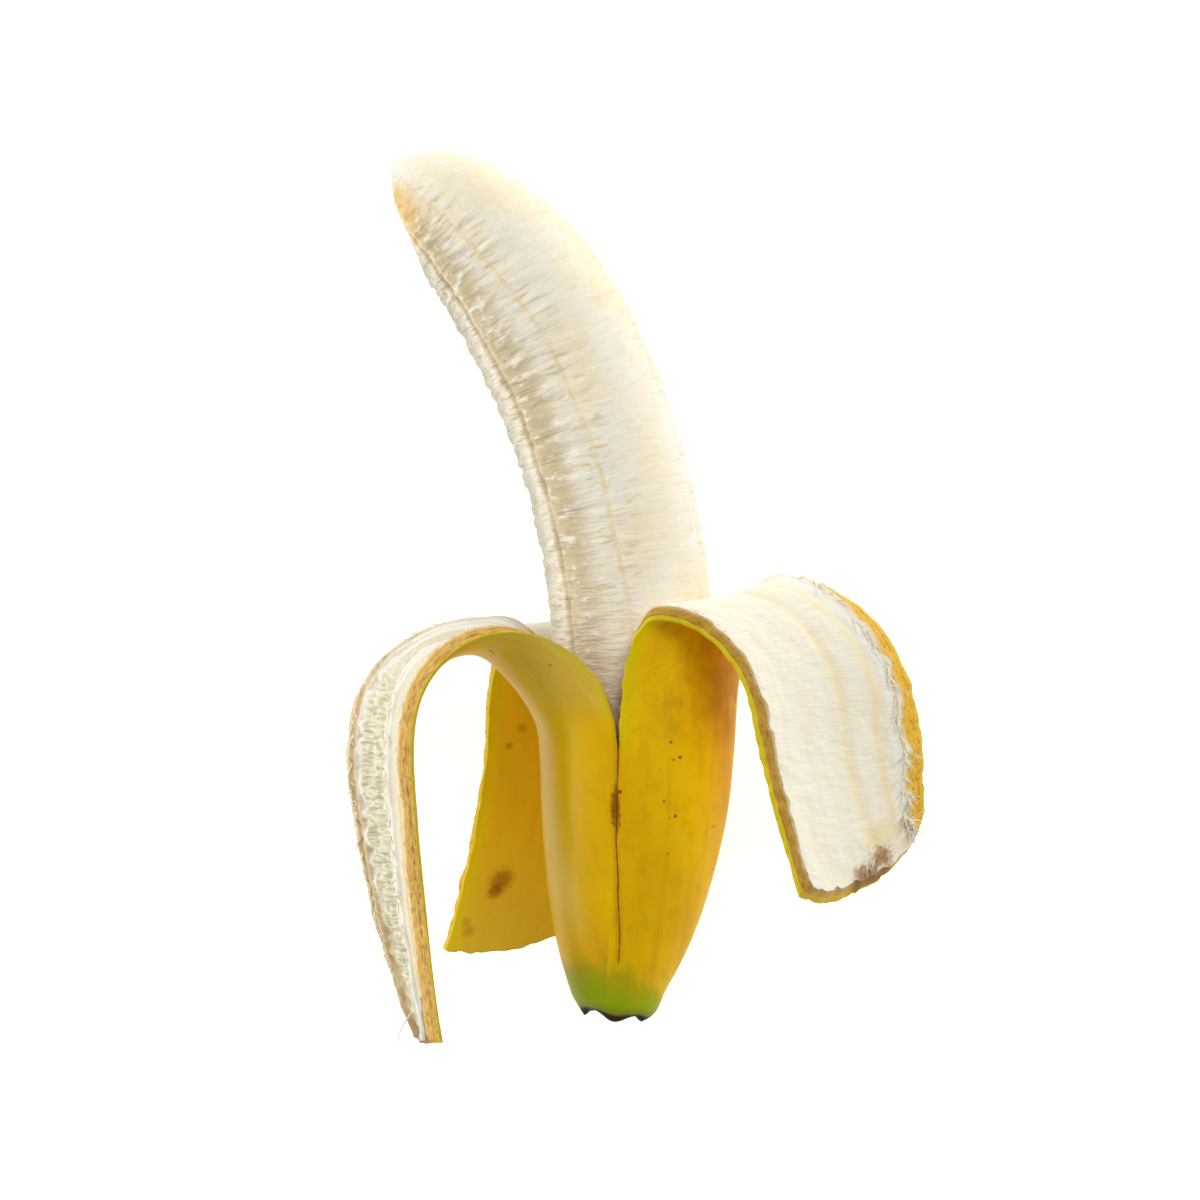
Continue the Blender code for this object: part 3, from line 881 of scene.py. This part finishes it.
def torn_finish():
    """The torn wall: a bright skin line, tan fibres with brown flecks, and cream towards the pith."""
    torn = Finish("torn_edge", {"Specular IOR Level": 0.25, "Subsurface Weight": 0.1,
                                "Subsurface Scale": 0.001})
    across, along, strip = torn.parts(torn.read("place"))
    first_edge, last_edge, depth = torn.parts(torn.read("wall"))
    to_end = torn.parts(torn.read("bands"))[2]
    fibres = torn.noise(depth * 6, along * 500, strip, 4, 0.6)
    specks = torn.noise(depth * 8, along * 650, strip + 3.0, 4, 0.7)
    at_right = strip.rise(0.5, 0.0)
    at_left = strip.rise(1.5, 2.0)
    at_first = first_edge.rise(0.002, 0.0005)
    at_last = last_edge.rise(0.002, 0.0005)
    torn.color = torn.blend(fibres.rise(0.3, 0.7), shade(226, 186, 100), shade(198, 148, 50))
    torn.paint(at_right * at_last * 0.85, 236, 184, 40)
    dry = torn.blend(specks, shade(196, 168, 112), shade(224, 206, 166))
    torn.color = torn.blend(at_left * at_first * 0.75, torn.color, dry)
    torn.paint(at_right * at_first * 0.6, 192, 142, 36)
    at_back = strip.rise(0.5, 1.0) * strip.rise(1.5, 1.0)
    torn.paint(at_back * 0.8, 214, 188, 40)
    torn.paint((depth + (fibres - 0.5) * 0.4).rise(0.78, 1.0) * 0.8, 236, 222, 184)
    torn.paint(specks.rise(0.54, 0.64) * 0.7, 140, 88, 16)
    dark_line = abs(depth - 0.40 + (specks - 0.5) * 0.12).rise(0.08, 0.02)
    torn.paint(dark_line * fibres.rise(0.4, 0.6) * 0.6, 124, 80, 14)
    at_end = to_end.rise(0.0012, 0.0002)
    torn.paint(at_end * depth.rise(0.70, 0.95) * specks.rise(0.3, 0.5) * 0.8, 136, 88, 26)
    torn.paint(at_end * depth.rise(0.6, 0.4) * 0.9, 232, 190, 50)
    bruised = at_right * at_end * across.rise(0.013, 0.018) * across.rise(0.030, 0.025)
    torn.paint(bruised * (0.4 + fibres * 0.6), 112, 68, 10)
    ribbon = at_right * at_first * 0.24 + 0.10
    torn.paint((depth - ribbon).rise(0.06, -0.02), 224, 200, 14)
    torn.paint(along.rise(0.076, 0.060) * 0.75, 140, 86, 24)
    return torn.done(0.55 + specks * 0.2, specks + fibres, 0.0003)


def pith_finish():
    """White pith: soft, stringy, with pale yellow lines along it, open cells and white threads, and darker
    on the left strip, partly as painted shade.
    """
    pith = Finish("banana_pith", {"Specular IOR Level": 0.25, "Subsurface Weight": 0.2,
                                  "Subsurface Scale": 0.0015})
    place = pith.read("place")
    across, along, strip = pith.parts(place)
    at_left = strip.rise(1.5, 2.0)
    first_edge, last_edge = pith.parts(pith.read("wall"))[:2]
    line, spongy, thread = pith.parts(pith.read("bands"))
    strings = pith.noise(across * 520, along * 45, strip, 4, 0.6)
    clouds = pith.noise(across * 130, along * 45, strip + 2.0, 3)
    pith.color = pith.blend(strings.rise(0.25, 0.75), shade(245, 237, 214), shade(248, 243, 226))
    pith.paint(clouds.rise(0.42, 0.75) * 0.30, 243, 230, 198)
    pith.paint(line * clouds.rise(0.2, 0.6) * 0.7, 243, 222, 160)
    cells = pith.noise(across * 280, along * 1500, strip + 7.0, 3, 0.6)
    # the left strip's pith is painted a darker grey beige: partly its own duller colour, partly painted
    # shade for the side away from the light
    pith.paint(at_left * 0.8, 200, 191, 164)
    open_cells = pith.blend(cells.rise(0.42, 0.60), shade(232, 226, 204), shade(198, 188, 144))
    pith.color = pith.blend(spongy * 0.9, pith.color, open_cells)
    pith.paint(thread * 0.7, 250, 248, 242)
    far_edge = (first_edge + (cells - 0.5) * 0.003).rise(0.0050, 0.0036) * at_left
    pith.paint(far_edge * along.rise(0.085, 0.100) * 0.8, 206, 180, 124)
    near_cut = last_edge.rise(0.0045, 0.0015) * at_left
    pith.paint(near_cut * 0.55, 228, 206, 158)
    stained = last_edge.rise(0.0065, 0.0045) * at_left * along.rise(0.090, 0.112)
    pith.paint(stained * (0.6 + strings * 0.3), 206, 176, 100)
    blotches = pith.noise(across * 800, along * 800, 9.0, 3, 0.6)
    yellowed = pith.near(place, YELLOWED[:3]) / YELLOWED[3] + (blotches - 0.5) * 1.5
    pith.paint(yellowed.rise(1.2, 0.2) * 0.6, 240, 222, 150)
    for *spot, radius, tint in BRUISES:
        browned = pith.near(place, spot) / radius + (blotches - 0.5) * 2.2
        pith.paint(browned.rise(1.5, 0.3) * 0.85, *tint)
    height = strings * 0.15 + cells * (0.35 + spongy * 0.8)
    return pith.done(0.6 + cells * 0.2, height, 0.0006)


wall_finishes = (skin_finish(), torn_finish(), pith_finish())
peel = wall_sheets.make("peel_wall", wall_finishes, ("place", "wall", "bands"))
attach(peel, "root")
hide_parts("peel")

# ---------------------------------------------------------------------------------------------------
# Strings: loose fibres of the pith, torn up where the peel came away from the flesh. Each is a thin
# tapered thread that still hangs on the pith at one end.

STRING_SIDES = 5
STRING_STEPS = 8
STRING_SEED = 5
NEAR_MIDDLE = 40  # the fine column whose lengths place the strings along a strip
TAPER = 0.75  # how much thinner a string is at its loose end
# Where strings come loose: strip, place across it, from and to along it, how many, length, thickness
LOOSE = (
    (RIGHT, 0.91, 0.090, 0.150, 90, 0.0034, 0.00014),
    (RIGHT, 0.96, 0.141, 0.151, 70, 0.0036, 0.00018),
    (RIGHT, 0.03, 0.070, 0.135, 50, 0.0016, 0.00008),
    (RIGHT, 0.50, 0.146, 0.154, 14, 0.0026, 0.00009),
    (LEFT, 0.97, 0.066, 0.110, 60, 0.0016, 0.00008),
    (LEFT, 0.12, 0.085, 0.156, 120, 0.0024, 0.00014),
    (LEFT, 0.50, 0.090, 0.156, 90, 0.0022, 0.00012),
    (LEFT, 0.45, 0.156, 0.160, 5, 0.0060, 0.00022),
    (BACK, 0.97, 0.090, 0.130, 20, 0.0014, 0.00008),
)
string_sheets = Patchwork()
chance = np.random.default_rng(STRING_SEED)
step = np.linspace(0, 1, STRING_STEPS)[:, None]
turn = 2 * np.pi * np.arange(STRING_SIDES)[None, :, None] / STRING_SIDES
count = 0
for number, place, start, end, amount, length, thickness in LOOSE:
    for spot in chance.uniform(0, 1, (amount, 6)):
        row = np.argmin(np.abs(marks[number][:, NEAR_MIDDLE, 1] - start - (end - start) * spot[0]))
        column = int(np.clip(place + 0.05 * (spot[1] - 0.5), 0, 0.999) * SKIN_COLUMNS * STRIP_COLUMNS)
        root = piths[number][row, column]
        over = unit(piths[number][row, column + 1] - root)
        down = unit(root - piths[number][row - 1, column])
        lift = -walls[number][row, column]
        reach = length * (0.4 + spot[2])
        way = down * (0.3 + spot[3]) + over * (spot[4] - 0.5) * 1.6
        curl = over * math.sin(9 * spot[5]) * 0.3
        path = root + reach * (way * step + curl * step ** 2 + lift * 0.45 * np.sin(2.4 * step) * spot[5])
        girth = thickness * (1 - TAPER * step) * (0.6 + spot[1])
        sides = np.cos(turn) * lift + np.sin(turn) * over
        tube = path[:, None] + girth[..., None] * sides
        tube[..., 2] -= min((tube[..., 2] + stand[2]).min(), 0)
        numbers = string_sheets.add_ring(tube + stand)
        tags = np.stack((0 * numbers + step * reach, 0 * numbers + count, 0 * numbers), -1)
        string_sheets.cover(numbers, tags, flip=True)
        for end_row, flip in ((0, False), (-1, True)):
            string_sheets.cap(numbers[end_row], tags[end_row], tube[end_row].mean(0) + stand, flip=flip)
        count += 1


def string_finish():
    """Dry white fibre, a little yellower in places along its length."""
    thread = Finish("pith_string", {"Specular IOR Level": 0.3})
    length, which = thread.parts(thread.read("place"))[:2]
    patches = thread.noise(length * 900, which * 3.7, 1.0)
    thread.color = thread.blend(patches.rise(0.3, 0.7), shade(250, 246, 236), shade(236, 224, 190))
    return thread.done(0.6 + patches * 0.2, patches, 0.0001)


strings = string_sheets.make("pith_strings", (string_finish(),), ("place",))
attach(strings, "root")
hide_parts("peel")

# ---------------------------------------------------------------------------------------------------
# Flesh: the soft pale fruit inside the peel, one piece of starchy pulp. Five seams run along it, where
# its chambers meet, and short ribs lie across it. It stands bare from the cup and comes down to the
# table near its tip.

FLESH_COLUMNS = 260
FLESH_ROWS = 480
# Seams along the flesh: angle from the top at the foot and at the tip, width, depth
FLESH_SEAMS = (
    (math.radians(0), math.radians(-16), 0.00050, 0.00015),
    (math.radians(-50), math.radians(-60), 0.00090, 0.00060),
    (math.radians(70), math.radians(76), 0.0006, 0.0002),
    (math.radians(128), math.radians(120), 0.0009, 0.0005),
    (math.radians(-122), math.radians(-128), 0.0009, 0.0005),
)
FLESH_CORNERS = 0.00022  # how far the section swells into a rounded pentagon
# Relief across the flesh: width and length of its grain, and its height
RIBS = (
    (0.0065, 0.0015, 0.00030),
    (0.0040, 0.0010, 0.00018),
    (0.0014, 0.0008, 0.00010),
    (0.020, 0.012, 0.00035),
)
RIBS_START = MOUTH + 0.010  # the ribs are low at the foot, and full from there on
RIBS_FULL = MOUTH + 0.045
FUZZ = 0.0004  # loose starch along the left side, in grains of this size
FUZZ_GRAIN = 0.0010
TIP_CORNER = np.array((-0.0486, 0.1772, 0.0135))  # the tip is drawn out to a blunt corner on its left
CORNER_REACH = 0.0090
CORNER_PULL = 0.76
SQUARE_END = 0.1748  # and squared off beyond this
SQUARING = 0.7
# How far left the flesh reaches near its tip: place along Y and X there
LEFT_SIDE = ((0.148, -0.0366), (0.156, -0.0397), (0.164, -0.0433), (0.174, -0.0449))
LEFT_PRESSING = 0.85


def flesh_station(share):
    """Stations along the flesh, closer together at its two ends."""
    eased = share - np.sin(2 * np.pi * share) / (2 * np.pi) * 0.8
    return FLESH_FOOT + (FRUIT_LENGTH - FLESH_FOOT) * eased


share = (np.arange(FLESH_ROWS) + 0.5) / FLESH_ROWS
share, angle = np.meshgrid(share, np.linspace(-np.pi, np.pi, FLESH_COLUMNS + 1), indexing="ij")
station = flesh_station(share)
share = (station - FLESH_FOOT) / (FRUIT_LENGTH - FLESH_FOOT)
around = angle * FLESH_RADIUS
radius = flesh_radius(station)
girth = 2 * np.pi * FLESH_RADIUS
seams, dips = [], 0
for number, (foot_angle, tip_angle, width, depth) in enumerate(FLESH_SEAMS):
    at = foot_angle + (tip_angle - foot_angle) * share ** 2 + 0.025 * drift(station, 0.014, 4 + number)
    distance = np.abs((angle - at + np.pi) % (2 * np.pi) - np.pi) * FLESH_RADIUS
    seams.append(distance)
    dips = dips + depth * bell(distance, width) * (1 + 0.5 * drift(station, 0.003, 9))
    dips = dips + 0.4 * depth * bell(distance, 4 * width)
leftward = ramp(around, 0.010, -0.014)
ribs = 0
for number, (width, length, height) in enumerate(RIBS):
    count = round(girth / width)
    ribs = ribs + height * grain(around, station, girth / count, length, 11 + number, count)
ribs = ribs * (0.4 + 0.6 * leftward) * (0.45 + 0.55 * ramp(station, RIBS_START, RIBS_FULL))
count = round(girth / FUZZ_GRAIN)
fuzz = FUZZ * np.maximum(0, grain(around, station, girth / count, FUZZ_GRAIN, 17, count))
fuzz = fuzz * bell(angle + 1.6, 0.5)
corners = FLESH_CORNERS * np.cos(5 * (angle - math.radians(36)))
swollen = radius + ramp(radius, 0, 0.006) * (corners - dips + ribs + fuzz)
pulp_points = ring(station, swollen, angle)
to_corner = TIP_CORNER - pulp_points
pull = CORNER_PULL * bell(np.linalg.norm(to_corner * (1, 1, 0.6), axis=-1), CORNER_REACH)
pulp_points = pulp_points + to_corner * pull[..., None]
beyond = np.maximum(pulp_points[..., 1] - SQUARE_END, 0)
pulp_points[..., 1] -= SQUARING * beyond
left_side = np.interp(pulp_points[..., 1], *np.transpose(LEFT_SIDE))
bulge = np.maximum(left_side - pulp_points[..., 0], 0) * ramp(pulp_points[..., 1], 0.146, 0.154)
pulp_points[..., 0] += LEFT_PRESSING * bulge
pulp_points[..., 2] = np.maximum(pulp_points[..., 2], REST_CLEARANCE / 2)

pulp_sheets = Patchwork()
pulp_numbers = pulp_sheets.add_ring(pulp_points[:, :-1] + stand)
pulp_marks = np.stack((around, station, share, seams[0], seams[1], np.minimum.reduce(seams[2:])), -1)
pulp_sheets.cover(pulp_numbers, pulp_marks)
for row, flip in ((0, True), (-1, False)):
    pulp_sheets.cap(pulp_numbers[row], pulp_marks[row], pulp_points[row, :-1].mean(0) + stand, flip=flip)


def pulp_finish():
    """Cream pulp, whiter on its ribs, with yellowish flecks between them and stains at tip and foot,
    painted shade on its left and painted light at its foot.
    """
    pulp = Finish("banana_pulp", {"Specular IOR Level": 0.3, "Subsurface Weight": 0.3,
                                  "Subsurface Scale": 0.002})
    around, along, share = pulp.parts(pulp.read("place"))
    middle_seam, left_seam, other_seams = pulp.parts(pulp.read("seams"))
    leftward = around.rise(0.008, -0.016)
    clouds = pulp.noise(around * 90, along * 50, 1.0, 3)
    clouded = clouds.rise(0.35, 0.65) * (1 - leftward * 0.6)
    pulp.color = pulp.blend(clouded, shade(243, 236, 220), shade(245, 232, 200))
    # partly painted shade: the left side of the flesh, away from the light, is painted a darker beige; its
    # ticks there are its own
    pulp.paint(leftward * 0.6, 226, 218, 196)
    between = left_seam.rise(0.011, 0.005) * around.rise(-0.0160, -0.0135)
    pulp.paint(between * 0.85, 192, 174, 132)
    patches = pulp.noise(around * 240, along * 480, 2.0, 3, 0.6)
    pulp.paint(patches.rise(0.50, 0.66) * (leftward * 0.5 + 0.2), 250, 246, 238)
    beside = left_seam.rise(0.013, 0.001).most(middle_seam.rise(0.008, 0.0005) * 0.6)
    beside = beside.most(other_seams.rise(0.007, 0.001) * 0.3) + leftward * 0.25
    ticks = pulp.noise(around * 210 + 5, along * 1150, 3.0, 2, 0.5, 0.5)
    flecks = ticks.rise(0.54, 0.68) * (beside * 0.7 + 0.15)
    pulp.paint(flecks, 210, 188, 136)
    # painted shade: a grey along the far left edge, where the flesh turns away from the light
    pulp.paint(around.rise(-0.015, -0.024) * 0.85, 174, 168, 148)
    pulp.paint(left_seam.rise(0.0015, 0.0002) * 0.75, 194, 172, 120)
    pulp.paint(middle_seam.rise(0.0008, 0.0002) * patches.rise(0.3, 0.7), 238, 216, 164)
    # painted light: a warm pale tint lifts the shade at the foot, by the mouth of the cup
    pulp.paint(along.rise(MOUTH + 0.040, MOUTH + 0.012) * 0.55, 252, 240, 216)
    stain = share.rise(0.90, 0.97) * around.rise(-0.001, -0.010) * share.rise(0.995, 0.98)
    pulp.paint(stain * 0.75, 233, 194, 112)
    pulp.paint(share.rise(0.975, 0.995) * 0.8, 232, 233, 222)
    crumbs = pulp.noise(around * 800, along * 800, 4.0, 3)
    stain = along.rise(MOUTH + 0.016, MOUTH + 0.004) * crumbs.rise(0.3, 0.7)
    pulp.paint(stain * 0.7, 214, 168, 100)
    fine = pulp.noise(around * 1400, along * 2600, 5.0, 4, 0.6)
    height = (patches * 0.5 - ticks) * (leftward * 0.8 + 0.25) + fine * 0.15
    return pulp.done(0.5 + fine * 0.25, height, 0.0006)


flesh = pulp_sheets.make("bare_flesh", (pulp_finish(),), ("place", "seams"))
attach(flesh, "root")
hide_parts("flesh")

# ---------------------------------------------------------------------------------------------------
# Studio: a white light table under a white room that is dimmer overhead, a broad soft lamp beyond the
# tip, and a tall soft lamp at the left that puts a sheen on the cup, over a pale highlight painted into the
# skin there.

TABLE_SIZE = 6.0
half = TABLE_SIZE / 2
table_sheet = Patchwork()
corners = np.array((((-half, -half, 0.0), (half, -half, 0.0)), ((-half, half, 0.0), (half, half, 0.0))))
table_sheet.cover(table_sheet.add(corners), corners)
paper = Finish("white_table", {"Emission Color": (1, 1, 1, 1), "Emission Strength": 0.80})
paper_x, paper_y = paper.parts(paper.read("place"))[:2]
weave = paper.noise(paper_x * 400, paper_y * 400, 1.0)
paper.color = paper.blend(weave, shade(214, 214, 214), shade(218, 218, 218))
table = table_sheet.make("table", (paper.done(0.9, weave, 0.00005),), ("place",))

ROOM_SIDES = 0.60
ROOM_OVERHEAD = 0.36
DIMMING_START = 0.35  # from level, 0, to straight up, 1
DIMMING_END = 0.9
room = bpy.data.worlds.new("white_room")
room.use_nodes = True
sky = room.node_tree
ways = sky.nodes.new("ShaderNodeTexCoord")
split = sky.nodes.new("ShaderNodeSeparateXYZ")
fall = sky.nodes.new("ShaderNodeMapRange")
fall.interpolation_type = "SMOOTHSTEP"
for slot, value in (("From Min", DIMMING_START), ("From Max", DIMMING_END), ("To Min", ROOM_SIDES),
                    ("To Max", ROOM_OVERHEAD)):
    fall.inputs[slot].default_value = value
sky.links.new(ways.outputs["Generated"], split.inputs[0])
sky.links.new(split.outputs["Z"], fall.inputs["Value"])
sky.links.new(fall.outputs["Result"], sky.nodes["Background"].inputs["Strength"])
sky.nodes["Background"].inputs["Color"].default_value = (1, 1, 1, 1)
bpy.context.scene.world = room


def hang_lamp(name, spot, aim, width, height, power):
    """A soft rectangular lamp at a spot, turned towards a point."""
    lamp = bpy.data.lights.new(name, "AREA")
    lamp.shape = "RECTANGLE"
    lamp.size = width
    lamp.size_y = height
    lamp.energy = power
    holder = bpy.data.objects.new(name, lamp)
    holder.location = spot
    holder.rotation_euler = (Vector(aim) - Vector(spot)).to_track_quat("-Z", "Y").to_euler()
    bpy.context.scene.collection.objects.link(holder)


hang_lamp("far_lamp", (0.35, 0.65, 0.75), (0, 0, 0.02), 0.6, 0.6, 5.4)
hang_lamp("left_lamp", (-0.6, -0.03, 0.085), (0, -0.03, 0.02), 0.5, 0.13, 1.9)

# ---------------------------------------------------------------------------------------------------
# Camera: straight above the fruit, through a long lens

VIEW_WIDTH = 0.240
LENS = 200
SENSOR = 36
AIM_HEIGHT = 0.024
VIEW_SHIFT = Vector((-0.0064, -0.0005, 0.0))
eye = bpy.data.cameras.new("camera")
eye.lens = LENS
eye.sensor_width = SENSOR
eye.clip_end = 10
camera = bpy.data.objects.new("camera", eye)
camera.location = (cad_low + cad_high) / 2 + VIEW_SHIFT
camera.location.z = AIM_HEIGHT + VIEW_WIDTH * LENS / SENSOR
bpy.context.scene.collection.objects.link(camera)
bpy.context.scene.camera = camera
bpy.context.scene.view_settings.view_transform = "Standard"
